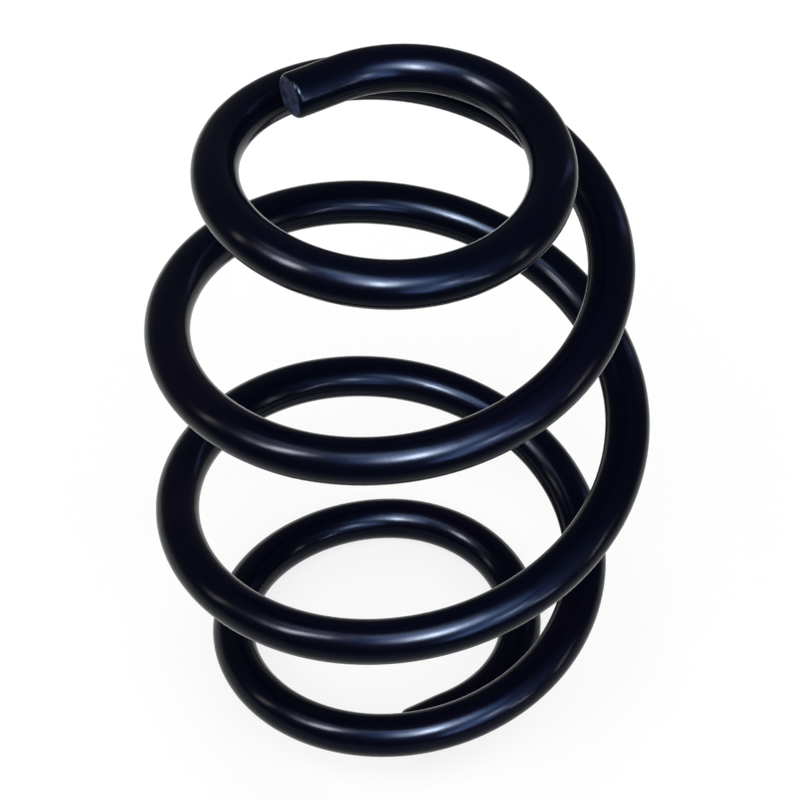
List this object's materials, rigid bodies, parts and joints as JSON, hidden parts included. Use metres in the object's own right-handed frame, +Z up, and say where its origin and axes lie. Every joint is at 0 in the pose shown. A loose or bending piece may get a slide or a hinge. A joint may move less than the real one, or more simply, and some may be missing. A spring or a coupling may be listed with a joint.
{
  "type": "brake chamber compression spring",
  "caption": "Barrel-shaped right-hand compression spring of thick round steel bar, with closed unground end coils that spiral inwards and a glossy blue-black paint.",
  "frame": {"origin": "the point of the coil's axis in the plane that the bottom end coil stands on", "axes": "+Z up the axis of the coil; -Y towards the viewer of the picture and +X to its right"},
  "size_m": [0.1522, 0.1525, 0.2301],
  "materials": {
    "painted_spring_steel": "gloss"
  },
  "bodies": {
    "root": {"coil_spring": "painted_spring_steel"}
  },
  "joints": []
}
